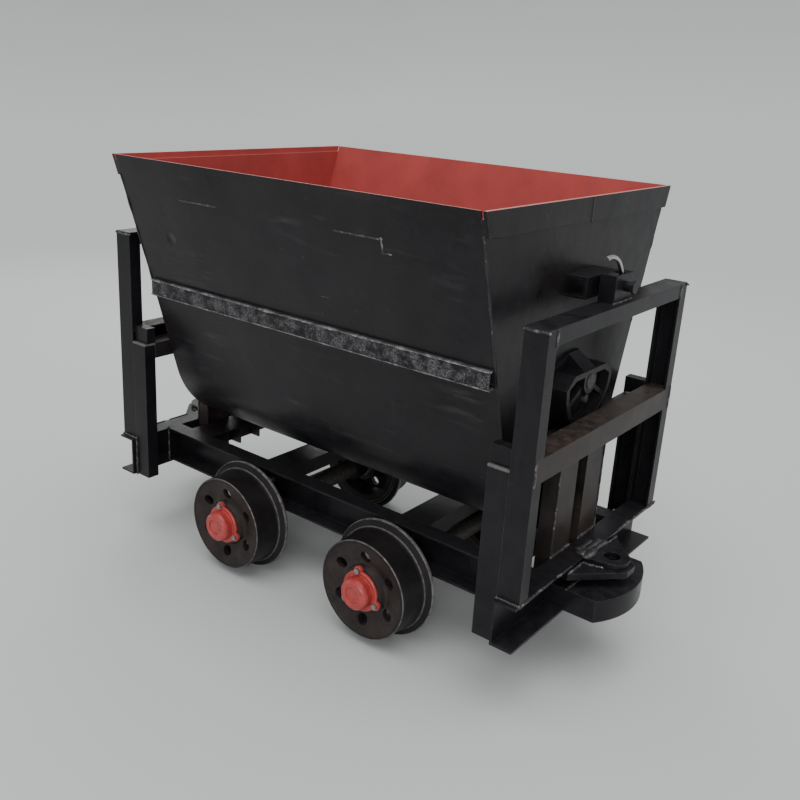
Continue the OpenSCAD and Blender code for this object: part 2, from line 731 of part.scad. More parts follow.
side_plates();
trough();
end_walls();
rim_bands();
knuckle_bars();
backing_plates();
rockers();
rocker_bolts();
latch_keeper();
centre_pins();
side_sills();
end_beams();
cross_members();
tie_plates();
axle_seats();
seat_bolts();
web_bolts();
axles();
axle_nuts();
portal_legs();
top_bars();
tie_bars();
track_rails();
posts();
post_caps();
stop_blocks();
supports();
bumpers();
coupler_plates();
lug_doublers();
latch_housing();
latch_bolt();
latch_handle();
wheel_1();
wheel_2();
wheel_3();
wheel_4();
bearings_1();
bearings_2();
bearings_3();
bearings_4();
hub_cap_1();
hub_cap_2();
hub_cap_3();
hub_cap_4();
cap_bolts_1();
cap_bolts_2();
cap_bolts_3();
cap_bolts_4();
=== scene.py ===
"""Looks of a side-tipping mine cart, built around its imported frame.

Black enamelled steel with welds, dust and worn edges, a bucket that is red inside,
dark cast wheels with rubbed edges, and red hub caps. Units are metres unless a name
says mm.
"""

import logging
import math
from dataclasses import dataclass, field, replace
from enum import Enum
from typing import Callable, Iterable, Sequence

import bmesh
import bpy
from mathutils import Matrix, Vector


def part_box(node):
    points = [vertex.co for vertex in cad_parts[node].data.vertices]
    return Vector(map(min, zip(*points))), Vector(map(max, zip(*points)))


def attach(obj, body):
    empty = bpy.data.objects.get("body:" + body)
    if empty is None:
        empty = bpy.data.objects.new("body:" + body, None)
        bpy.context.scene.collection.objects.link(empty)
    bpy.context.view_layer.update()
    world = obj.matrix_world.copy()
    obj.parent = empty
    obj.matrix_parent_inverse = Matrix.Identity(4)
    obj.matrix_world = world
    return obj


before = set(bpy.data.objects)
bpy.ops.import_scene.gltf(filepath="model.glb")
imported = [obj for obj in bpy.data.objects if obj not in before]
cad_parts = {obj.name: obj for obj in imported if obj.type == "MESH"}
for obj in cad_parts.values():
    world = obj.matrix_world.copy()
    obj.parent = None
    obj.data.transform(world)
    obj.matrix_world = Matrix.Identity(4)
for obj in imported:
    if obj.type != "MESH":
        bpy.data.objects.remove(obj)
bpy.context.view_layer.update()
log = logging.getLogger("mine_cart")
Vec = tuple[float, float, float]
MM = 0.001
# Height of the rails above z = 0, where the flanges end.
RAIL_TOP = 0.025
BEVEL_SAMPLES = 4
COAT_ROUGHNESS = 0.18
# Cosines between the true and the rounded normal: at the first an edge's mask starts, and
# at the second it is full.
EDGE_START, EDGE_FULL = 0.985, 0.80


# ---------------------------------------------------------------- shader helpers


def srgb(code: str) -> tuple[float, float, float, float]:
    """Turns an sRGB hex value into linear colour.

    Args:
        code: Six hex digits, such as "b5433d".

    Returns:
        Linear red, green, blue and an alpha of 1.
    """
    def channel(value: float) -> float:
        """Linear value of one sRGB channel."""
        return value / 12.92 if value <= 0.04045 else ((value + 0.055) / 1.055) ** 2.4

    parts = [channel(int(code[k:k + 2], 16) / 255) for k in (0, 2, 4)]
    return (parts[0], parts[1], parts[2], 1.0)


class Shader:
    """A material's node tree with one helper that adds a node."""

    def __init__(self, name: str) -> None:
        """Starts an empty node material.

        Args:
            name: The material's name.
        """
        self.material = bpy.data.materials.new(name)
        self.material.use_nodes = True
        self.tree = self.material.node_tree
        self.tree.nodes.clear()
        self.out = self.tree.nodes.new("ShaderNodeOutputMaterial")

    def add(self, kind: str, inputs: dict | None = None, **settings):
        """Adds one node, sets it up and links it.

        Args:
            kind: Blender's node type without its ShaderNode prefix.
            inputs: Socket name or index to a value or to a node's output socket.
            settings: Attributes of the node.

        Returns:
            The new node.
        """
        node = self.tree.nodes.new("ShaderNode" + kind)
        for key, value in settings.items():
            setattr(node, key, value)
        for key, value in (inputs or {}).items():
            if isinstance(value, bpy.types.NodeSocket):
                self.tree.links.new(value, node.inputs[key])
            else:
                node.inputs[key].default_value = value
        return node

    def math(self, operation: str, a, b=0.0, clamp: bool = False):
        """Adds a Math node.

        Args:
            operation: Blender's name of the operation.
            a: First value or socket.
            b: Second value or socket.
            clamp: Whether to keep the result between 0 and 1.

        Returns:
            The result's socket.
        """
        node = self.add("Math", {0: a, 1: b}, operation=operation, use_clamp=clamp)
        return node.outputs[0]

    def times(self, a, b, clamp: bool = False):
        """Multiplies two values; takes and returns what math does."""
        return self.math("MULTIPLY", a, b, clamp)

    def larger(self, a, b):
        """Takes the larger of two values and returns its socket."""
        return self.math("MAXIMUM", a, b)

    def vector(self, operation: str, a, b: Vec = (0, 0, 0)):
        """Adds a VectorMath node.

        Args:
            operation: Blender's name of the operation.
            a: First vector or socket.
            b: Second vector or socket.

        Returns:
            The node's outputs: 0 is a vector and "Value" is a number.
        """
        return self.add("VectorMath", {0: a, 1: b}, operation=operation).outputs

    def axis(self, vector, name: str):
        """Takes one axis of a vector.

        Args:
            vector: Socket to read.
            name: X, Y or Z.

        Returns:
            The axis's socket.
        """
        return self.add("SeparateXYZ", {0: vector}).outputs[name]

    def noise(self, size_mm: float, detail: float = 4.0, rough: float = 0.6,
              stretch: Vec = (1, 1, 1)):
        """Noise over object coordinates.

        Args:
            size_mm: Size of a typical blotch.
            detail: Octaves of finer noise.
            rough: Weight of the finer octaves.
            stretch: How much the pattern is squeezed along each axis.

        Returns:
            The noise's value socket.
        """
        where = self.add("TexCoord").outputs["Object"]
        place = self.add("Mapping", {"Vector": where, "Scale": stretch}).outputs[0]
        return self.add("TexNoise", {"Vector": place, "Scale": 1000.0 / size_mm,
                                     "Detail": detail, "Roughness": rough}).outputs["Fac"]

    def ramp(self, value, low: float, high: float, out_low: float = 0.0, out_high: float = 1.0):
        """Remaps a value between two limits, clamped.

        Args:
            value: Socket to read.
            low: Input that gives out_low.
            high: Input that gives out_high.
            out_low: Result at low.
            out_high: Result at high.

        Returns:
            The result's socket.
        """
        return self.add("MapRange", {"Value": value, "From Min": low, "From Max": high,
                                     "To Min": out_low, "To Max": out_high}).outputs[0]

    def mix(self, factor, a, b):
        """Mixes two colours.

        Args:
            factor: Share of the second colour.
            a: First colour or socket.
            b: Second colour or socket.

        Returns:
            The mixed colour's socket.
        """
        node = self.add("Mix", data_type="RGBA")
        for key, value in ((0, factor), (6, a), (7, b)):
            if isinstance(value, bpy.types.NodeSocket):
                self.tree.links.new(value, node.inputs[key])
            else:
                node.inputs[key].default_value = value
        return node.outputs[2]

    def edges(self, radius_mm: float):
        """Masks edges, from how a rounded normal differs from the true one.

        Args:
            radius_mm: How far from an edge the mask reaches.

        Returns:
            The mask's socket.
        """
        soft = self.add("Bevel", {"Radius": radius_mm * MM}, samples=BEVEL_SAMPLES).outputs[0]
        true = self.add("NewGeometry").outputs["Normal"]
        return self.ramp(self.vector("DOT_PRODUCT", soft, true)["Value"], EDGE_START, EDGE_FULL)

    def bump(self, height, strength: float, distance_mm: float, round_mm: float = 0.0):
        """Adds a Bump node.

        Args:
            height: Socket of the relief.
            strength: How strongly it shows.
            distance_mm: Depth of the relief.
            round_mm: Radius that the edges below it are rounded by, if any.

        Returns:
            The normal's socket.
        """
        inputs = {"Height": height, "Strength": strength, "Distance": distance_mm * MM}
        if round_mm:
            bevel = self.add("Bevel", {"Radius": round_mm * MM}, samples=BEVEL_SAMPLES)
            inputs["Normal"] = bevel.outputs[0]
        return self.add("Bump", inputs).outputs[0]

    def finish(self, colour, roughness, metallic, normal=None, coat: float = 0.0,
               specular: float = 0.5) -> bpy.types.Material:
        """Closes the tree with a Principled shader.

        Args:
            colour: Base colour, as a value or socket.
            roughness: Roughness, as a value or socket.
            metallic: Metallic, as a value or socket.
            normal: Normal socket, if any.
            coat: Weight of a clear coat.
            specular: Specular level of the paint.

        Returns:
            The finished material.
        """
        inputs = {"Base Color": colour, "Roughness": roughness, "Metallic": metallic,
                  "Coat Weight": coat, "Specular IOR Level": specular}
        if coat:
            inputs["Coat Roughness"] = COAT_ROUGHNESS
        if normal is not None:
            inputs["Normal"] = normal
        shader = self.add("BsdfPrincipled", inputs)
        self.tree.links.new(shader.outputs[0], self.out.inputs[0])
        return self.material


# ---------------------------------------------------------------- finishes


@dataclass(frozen=True)
class Enamel:
    """Brushed-on alkyd enamel over hot-rolled plate: glossy, uneven, dusty, chipped at edges."""

    name: str
    paint: str = "100e12"
    faded: str = "19171b"
    dust: str = "403c3e"
    chip: str = "9a9691"
    scuff: str = "8b8682"
    dust_amount: float = 0.22
    lying_dust: float = 0.40
    scuff_amount: float = 0.35
    edge_wear: float = 0.35
    gloss: float = 0.22
    shine: float = 0.20

    def colour(self, s: Shader) -> tuple:
        """Builds the paint's colour and masks.

        Args:
            s: The shader being built.

        Returns:
            Colour, roughness and metallic sockets.
        """
        film = s.mix(s.ramp(s.noise(320, 5), 0.38, 0.66), srgb(self.paint), srgb(self.faded))
        up = s.ramp(s.axis(s.add("TexCoord").outputs["Normal"], "Z"), 0.3, 1.0)
        veil = s.times(s.ramp(s.noise(110, 7, 0.68), 0.30, 0.75), self.dust_amount)
        lying = s.times(up, s.ramp(s.noise(28, 6, 0.75), 0.30, 0.70))
        settled = s.larger(veil, s.times(lying, self.lying_dust))
        runs = s.times(s.ramp(s.noise(70, 5, 0.7, (1, 1, 0.12)), 0.52, 0.72), 0.22)
        dusty = s.mix(s.larger(settled, runs), film, srgb(self.dust))
        scratch = s.times(s.ramp(s.noise(5, 3, 0.7, (0.1, 1, 1)), 0.665, 0.72),
                          s.ramp(s.noise(150, 4), 0.52, 0.64))
        fleck = s.times(s.ramp(s.noise(4.5, 4, 0.75), 0.70, 0.75),
                        s.ramp(s.noise(90, 3), 0.45, 0.65))
        scuffs = s.times(s.larger(scratch, fleck), self.scuff_amount, True)
        marked = s.mix(scuffs, dusty, srgb(self.scuff))
        bare = s.ramp(s.noise(13, 5, 0.75), 0.40, 0.60, 0.12 * self.edge_wear, self.edge_wear)
        worn = s.times(s.edges(1.6), bare, True)
        rough = s.ramp(s.noise(80, 5), 0.3, 0.75, self.gloss, self.gloss + 0.14)
        rough = s.math("ADD", rough, s.times(settled, 0.5), True)
        return s.mix(worn, marked, srgb(self.chip)), rough, s.times(worn, 0.6)

    def build(self) -> bpy.types.Material:
        """Builds the material."""
        s = Shader(self.name)
        colour, rough, metal = self.colour(s)
        height = s.math("ADD", s.noise(9, 3), s.times(s.noise(90, 2), 3.0))
        normal = s.bump(height, 0.16, 1.2, 1.6)
        return s.finish(colour, rough, metal, normal, specular=self.shine)


@dataclass(frozen=True)
class BucketPaint(Enamel):
    """Black enamel outside and red primer inside, parted by which way a face looks."""

    primer: str = "b9504c"
    primer_shade: str = "a34642"
    # Paler red of a painted highlight on the rim's upward faces.
    primer_top_highlight: str = "cf8f86"
    stain: str = "8f4541"
    drift: str = "2c2625"
    smear: str = "5a585a"
    primer_rough: float = 0.55
    axis_height: float = 0.72
    dent: Vec = (-0.477, -0.422, 1.043)
    dent_mm: float = 22.0
    rim: float = 1.20

    def outside(self, s: Shader, black):
        """Adds brown drift and grey smears to the outer enamel.

        Args:
            s: The shader being built.
            black: Socket of the enamel's colour.

        Returns:
            The outer colour's socket.
        """
        drift = s.times(s.ramp(s.noise(420, 4, 0.55), 0.42, 0.68), 0.5)
        smear = s.times(s.ramp(s.noise(26, 4, 0.65, (0.12, 1, 1)), 0.56, 0.74),
                        s.ramp(s.noise(260, 3), 0.46, 0.62, 0, 0.30))
        return s.mix(smear, s.mix(drift, black, srgb(self.drift)), srgb(self.smear))

    def inside(self, s: Shader, top):
        """Mixes the red primer, with stains and a painted highlight that makes the rim's upward
        faces paler.

        Args:
            s: The shader being built.
            top: Mask of the rim's top faces.

        Returns:
            The inner colour's socket.
        """
        blotch = s.ramp(s.noise(180, 5), 0.35, 0.7)
        red = s.mix(blotch, srgb(self.primer), srgb(self.primer_shade))
        red = s.mix(s.ramp(s.noise(14, 4, 0.7), 0.62, 0.74, 0, 0.25), red, srgb(self.stain))
        # Painted highlight: the rim's upward faces are mixed towards a paler red.
        return s.mix(s.times(top, 0.8), red, srgb(self.primer_top_highlight))

    def build(self) -> bpy.types.Material:
        """Builds the material; a face that looks at the bucket's axis is inside."""
        s = Shader(self.name)
        black, rough, metal = self.colour(s)
        coord = s.add("TexCoord").outputs
        place, normal = coord["Object"], coord["Normal"]
        from_axis = s.vector("SUBTRACT", place, (0, 0, self.axis_height))[0]
        facing = s.vector("DOT_PRODUCT", from_axis, normal)["Value"]
        high = s.math("GREATER_THAN", s.axis(place, "Z"), self.rim)
        # The rim's upward faces: red like the inside, and paler there by a painted highlight.
        top = s.times(high, s.math("GREATER_THAN", s.axis(normal, "Z"), 0.9))
        inner = s.larger(s.math("LESS_THAN", facing, 0.0), top)
        colour = s.mix(inner, self.outside(s, black), self.inside(s, top))
        roughness = s.mix(inner, rough, (*[self.primer_rough] * 3, 1))
        metallic = s.times(metal, s.math("SUBTRACT", 1.0, inner))
        waves = s.math("ADD", s.times(s.noise(150, 2), 6.0), s.noise(9, 3))
        away = s.vector("DISTANCE", place, self.dent)["Value"]
        pit = s.ramp(away, 0.0, self.dent_mm * MM, -self.dent_mm * 0.6, 0.0)
        relief = s.bump(s.math("ADD", waves, pit), 0.22, 1.6, 1.2)
        return s.finish(colour, roughness, metallic, relief, specular=self.shine)


@dataclass(frozen=True)
class Speckled(Enamel):
    """Enamel over weld spatter: pale grey specks all over it."""

    speck: str = "a29ea0"

    def build(self) -> bpy.types.Material:
        """Builds the material."""
        s = Shader(self.name)
        base, rough, metal = self.colour(s)
        fine = s.ramp(s.noise(5, 6, 0.85), 0.44, 0.62)
        cloud = s.times(s.ramp(s.noise(55, 6, 0.8), 0.44, 0.60), 0.62)
        rim = s.times(s.edges(6), s.ramp(s.noise(20, 4), 0.35, 0.55, 0.5, 1.5), True)
        pale = s.times(fine, s.larger(cloud, rim), True)
        rough = s.math("ADD", rough, 0.12, True)
        relief = s.bump(s.noise(6, 5, 0.75), 0.7, 2.5, 1.4)
        colour = s.mix(pale, base, srgb(self.speck))
        return s.finish(colour, rough, metal, relief, specular=self.shine)


@dataclass(frozen=True)
class CastWheel:
    """Cast iron painted dark, rubbed bright in rings at the tread's and flange's edges."""

    name: str
    centre: Vec
    tread_mm: float = 150.0
    paint: str = "131112"
    faded: str = "211d1d"
    dust: str = "3b322e"
    fleck: str = "77726f"
    metal: str = "aaa6a2"

    def ring(self, s: Shader, radius, offset_mm: float, half_mm: float, weight: float):
        """Masks a worn ring.

        Args:
            s: The shader being built.
            radius: Socket of the distance from the axle.
            offset_mm: How far outside the tread's radius the ring lies.
            half_mm: Half its width.
            weight: How worn it is.

        Returns:
            The mask's socket.
        """
        out_by = s.math("SUBTRACT", radius, (self.tread_mm + offset_mm) * MM)
        away = s.math("ABSOLUTE", out_by)
        return s.ramp(away, half_mm * MM, half_mm * 0.4 * MM, 0.0, weight)

    def build(self) -> bpy.types.Material:
        """Builds the material; wear and dust follow the distance from the axle."""
        s = Shader(self.name)
        place = s.vector("SUBTRACT", s.add("TexCoord").outputs["Object"], self.centre)[0]
        radius = s.vector("LENGTH", s.vector("MULTIPLY", place, (1, 0, 1))[0])["Value"]
        tread = self.tread_mm * MM
        rings = self.ring(s, radius, -4.5, 1.6, 0.42)
        for ring in ((24.0, 2.4, 0.60), (5.0, 2.2, 0.30)):
            rings = s.larger(rings, self.ring(s, radius, *ring))
        worn = s.times(rings, s.ramp(s.noise(16, 5, 0.75), 0.36, 0.60, 0.25, 1.0))
        skin = s.mix(s.ramp(s.noise(70, 5), 0.35, 0.68), srgb(self.paint), srgb(self.faded))
        dish = s.times(s.ramp(radius, tread - 0.004, tread - 0.014),
                       s.ramp(s.noise(60, 5, 0.7), 0.35, 0.65, 0.15, 0.8))
        skin = s.mix(dish, skin, srgb(self.dust))
        skin = s.mix(s.ramp(s.noise(5, 4, 0.8), 0.68, 0.78, 0, 0.45), skin, srgb(self.fleck))
        height = s.math("ADD", s.noise(3.5, 3), s.times(s.noise(25, 3), 2.0))
        return s.finish(s.mix(worn, skin, srgb(self.metal)), s.ramp(worn, 0, 1, 0.52, 0.30),
                        s.times(worn, 0.85), s.bump(height, 0.30, 1.0, 2.0), specular=0.25)


@dataclass(frozen=True)
class HubEnamel:
    """Thick red enamel brushed over a casting, with grease on it and a painted highlight that
    makes its corners lighter.
    """

    name: str
    paint: str = "b5403c"
    shade: str = "982d2a"
    # Paler red of a painted highlight on the corners.
    high: str = "d27a74"
    grease: str = "3a3d33"

    def build(self) -> bpy.types.Material:
        """Builds the material."""
        s = Shader(self.name)
        base = s.mix(s.ramp(s.noise(22, 4), 0.35, 0.7), srgb(self.paint), srgb(self.shade))
        # Painted highlight: the corners are mixed towards a paler red.
        base = s.mix(s.times(s.edges(3), 0.6), base, srgb(self.high))
        base = s.mix(s.ramp(s.noise(8, 5, 0.8), 0.64, 0.74, 0, 0.65), base, srgb(self.grease))
        height = s.math("ADD", s.noise(4, 3), s.times(s.noise(18, 2), 1.5))
        rough = s.ramp(s.noise(15), 0.3, 0.7, 0.28, 0.5)
        return s.finish(base, rough, 0.0, s.bump(height, 0.3, 1.0, 1.8), coat=0.25)


@dataclass(frozen=True)
class BareSteel:
    """Uncoated machined or rolled steel, dull grey with dirt in its grain."""

    name: str
    metal: str = "a39f9a"
    dirt: str = "3c3835"
    dirty: float = 0.5
    rough: float = 0.38

    def build(self) -> bpy.types.Material:
        """Builds the material."""
        s = Shader(self.name)
        grime = s.ramp(s.noise(12, 5, 0.75), 0.62 - self.dirty * 0.3, 0.8 - self.dirty * 0.2)
        colour = s.mix(grime, srgb(self.metal), srgb(self.dirt))
        grain = s.bump(s.noise(1.2, 2, 0.6, (0.1, 1, 1)), 0.2, 0.3, 0.8)
        rough = s.ramp(grime, 0, 1, self.rough, 0.7)
        return s.finish(colour, rough, s.ramp(grime, 0, 1, 1.0, 0.2), grain)


@dataclass(frozen=True)
class WeldMetal:
    """Arc-weld bead, painted over thinly so its ripples catch the light."""

    name: str
    tone: str = "2a2829"
    shine: str = "8f8c8a"
    bare: float = 0.35

    def build(self) -> bpy.types.Material:
        """Builds the material."""
        s = Shader(self.name)
        patch = s.ramp(s.noise(16, 4, 0.7), 0.62 - self.bare * 0.3, 0.72 - self.bare * 0.2)
        colour = s.mix(patch, srgb(self.tone), srgb(self.shine))
        return s.finish(colour, s.ramp(patch, 0, 1, 0.32, 0.42), s.times(patch, 0.8),
                        s.bump(s.noise(3, 3), 0.4, 0.6))


@dataclass(frozen=True)
class StudioFloor:
    """Matt pale paper sweep."""

    name: str = "studio_floor"

    def build(self) -> bpy.types.Material:
        """Builds the material."""
        s = Shader(self.name)
        return s.finish(srgb("c9cac9"), 0.9, 0.0)


class Finish(Enum):
    """The finishes that several sub-assemblies share."""

    FRAME = Enamel("frame_enamel")
    DUSTY = Enamel("dusty_frame_enamel", paint="181415", faded="272120", dust="5c5049",
                   dust_amount=0.40, lying_dust=0.8)
    BUCKET = BucketPaint("bucket_enamel")
    KNUCKLE = Speckled("spattered_enamel", scuff_amount=0.6)
    CASTING = Enamel("painted_casting", paint="121114", dust="423e40", gloss=0.24,
                     edge_wear=0.6, chip="7f7c7b")
    RAIL = Enamel("worn_track_enamel", paint="171517", faded="242122", dust="5c5653",
                  dust_amount=0.28, edge_wear=1.0, chip="bdb9b5")
    # Post caps: pale grey all over and near white on their edges, a painted highlight laid over
    # the wear where the tipped bucket lands on them.
    CAP = Enamel("pale_edged_cap_enamel", paint="2a2829", faded="5d5a5a", dust="8b8784",
                 dust_amount=0.8, edge_wear=1.0, chip="cfccc9")
    COUPLER = Enamel("coupler_enamel", paint="0f0e11", dust="454145", edge_wear=0.6, gloss=0.2)
    BOLT = BareSteel("galvanised_bolt")
    BRIGHT = BareSteel("handled_steel", metal="c4c0bb", dirty=0.15, rough=0.28)
    SHAFT = BareSteel("greasy_shaft", metal="6a6663", dirty=0.9, rough=0.45)
    WELD = WeldMetal("painted_weld")
    SEAM = WeldMetal("thickly_painted_weld", tone="1c1a1c", shine="6b6869", bare=0.12)
    SPATTER = WeldMetal("spatter_crust", tone="59565a", shine="b2afb0", bare=0.6)
    DUSTY_WELD = WeldMetal("dusty_weld", tone="343234", shine="6d6a6b", bare=0.3)
    BARE_WELD = WeldMetal("bare_weld", tone="555150", shine="b4b1ae", bare=0.8)

    def material(self) -> bpy.types.Material:
        """Returns the finish's material, built once."""
        found = bpy.data.materials.get(self.value.name)
        return found or self.value.build()


def dress(nodes: Iterable[str], material: bpy.types.Material) -> None:
    """Gives CAD nodes a material.

    Args:
        nodes: Node names.
        material: The material.
    """
    for name in nodes:
        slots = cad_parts[name].data.materials
        slots.clear()
        slots.append(material)


# ---------------------------------------------------------------- modelling


def primitive(make: Callable, name: str, **settings) -> bpy.types.Object:
    """Adds a primitive with nothing else selected.

    Args:
        make: Blender's operator.
        name: Name of the new object.
        settings: What the operator takes.

    Returns:
        The new object.
    """
    bpy.ops.object.select_all(action="DESELECT")
    make(**settings)
    obj = bpy.context.active_object
    obj.name = name
    return obj


@dataclass(frozen=True)
class WeldLine:
    """A weld from one point to another, on a surface that looks along a normal."""

    start: Vec
    end: Vec
    normal: Vec
    width: float
    height: float
    ragged: float = 0.14


class Bead:
    """Width, height and, where it isn't the usual one, raggedness of each kind of weld."""

    CORNER = (0.007, 0.0022, 0.5)
    TACK = (0.008, 0.003)
    SEAM = (0.007, 0.002)
    TOE = (0.009, 0.0035)
    CRUST = (0.006, 0.0008, 0.5)
    FILLET = (0.008, 0.004)
    REPAIR = (0.006, 0.0016)
    FOOT = (0.010, 0.004)
    PROP = (0.012, 0.006)
    PROP_CORNER = (0.006, 0.003)
    DASH = (0.007, 0.0025)
    POST = (0.009, 0.004)
    ROOT = (0.024, 0.005, 0.45)
    LUG = (0.010, 0.005)
    LUG_SIDE = (0.009, 0.005)
    BUMPER = (0.009, 0.003)


@dataclass(frozen=True)
class WeldShop:
    """Lays weld beads as overlapping ripples along lines.

    A ripple is a unit drop, cut off below and leaning, that is scaled to the bead.
    """

    pitch: float = 0.0055
    overlap: float = 1.15
    cut: float = -0.25
    lean: float = 0.3
    sway: float = 0.0003

    def ripple(self) -> bpy.types.Object:
        """Models one ripple: a flattened drop, thicker at its trailing edge."""
        drop = primitive(bpy.ops.mesh.primitive_uv_sphere_add, "ripple",
                         segments=10, ring_count=5, radius=1.0)
        bpy.ops.object.mode_set(mode="EDIT")
        bpy.ops.mesh.select_all(action="SELECT")
        bpy.ops.mesh.bisect(plane_co=(0, 0, self.cut), plane_no=(0, 0, 1),
                            clear_inner=True, use_fill=True)
        bpy.ops.object.mode_set(mode="OBJECT")
        for vertex in drop.data.vertices:
            vertex.co.z *= 1.0 - self.lean * vertex.co.x
        return drop

    def places(self, lines: Sequence[WeldLine]) -> list[Matrix]:
        """Places ripples along lines, swaying and swelling a little.

        Args:
            lines: The weld lines.

        Returns:
            One matrix for each ripple.
        """
        found = []
        for n, line in enumerate(lines):
            a, b = Vector(line.start), Vector(line.end)
            along = (b - a).normalized()
            up = Vector(line.normal).normalized()
            side = up.cross(along)
            turn = Matrix((along, side, up)).transposed()
            count = max(2, int((b - a).length / self.pitch))
            for k in range(count + 1):
                sway = (math.sin(k * 1.7 + n) + math.sin(k * 0.73 + 2 * n)) * self.sway
                swell = math.sin(k * 0.43 + n * 1.3) + math.sin(k * 0.29 + n)
                size = 1.0 + line.ragged * 0.6 * swell
                scale = Matrix.Diagonal((self.pitch * self.overlap, line.width / 2 * size,
                                         line.height * size))
                spot = a.lerp(b, k / count) + side * sway
                found.append(Matrix.Translation(spot) @ (turn @ scale).to_4x4())
        return found

    def lay(self, name: str, body: str, lines: Sequence[WeldLine],
            finish: Finish) -> bpy.types.Object:
        """Lays beads along lines and joins them into one piece.

        Args:
            name: Name of the piece.
            body: Body that it rides on.
            lines: The weld lines.
            finish: The bead's finish.

        Returns:
            The joined piece.
        """
        drop = self.ripple()
        copies = self.places(lines)
        mesh = bpy.data.meshes.new(name)
        work = bmesh.new()
        for matrix in copies:
            before = len(work.verts)
            work.from_mesh(drop.data)
            work.verts.ensure_lookup_table()
            for vertex in work.verts[before:]:
                vertex.co = matrix @ vertex.co
        for face in work.faces:
            face.smooth = True
        work.to_mesh(mesh)
        work.free()
        bpy.data.objects.remove(drop)
        piece = bpy.data.objects.new(name, mesh)
        bpy.context.collection.objects.link(piece)
        piece.data.materials.append(finish.material())
        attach(piece, body)
        log.info("%s: %d beads, %d faces", name, len(copies), len(mesh.polygons))
        return piece


def flipped(point: Vec, axis: int) -> Vec:
    """Mirrors a point or a direction across one of the car's middle planes.

    Args:
        point: The point or direction.
        axis: Axis across the plane, 0 for x and 1 for y.

    Returns:
        Its mirror image.
    """
    return tuple(-c if k == axis else c for k, c in enumerate(point))


def mirrored(lines: Sequence[WeldLine], x: bool = False, y: bool = False) -> list[WeldLine]:
    """Repeats weld lines across the car's middle planes.

    Args:
        lines: Lines of one side.
        x: Whether to repeat them at the other end.
        y: Whether to repeat them on the other side.

    Returns:
        The lines with their mirror copies.
    """
    found = list(lines)
    for active, axis in ((x, 0), (y, 1)):
        if active:
            found += [replace(w, start=flipped(w.start, axis), end=flipped(w.end, axis),
                              normal=flipped(w.normal, axis)) for w in found]
    return found


# ---------------------------------------------------------------- sub-assemblies


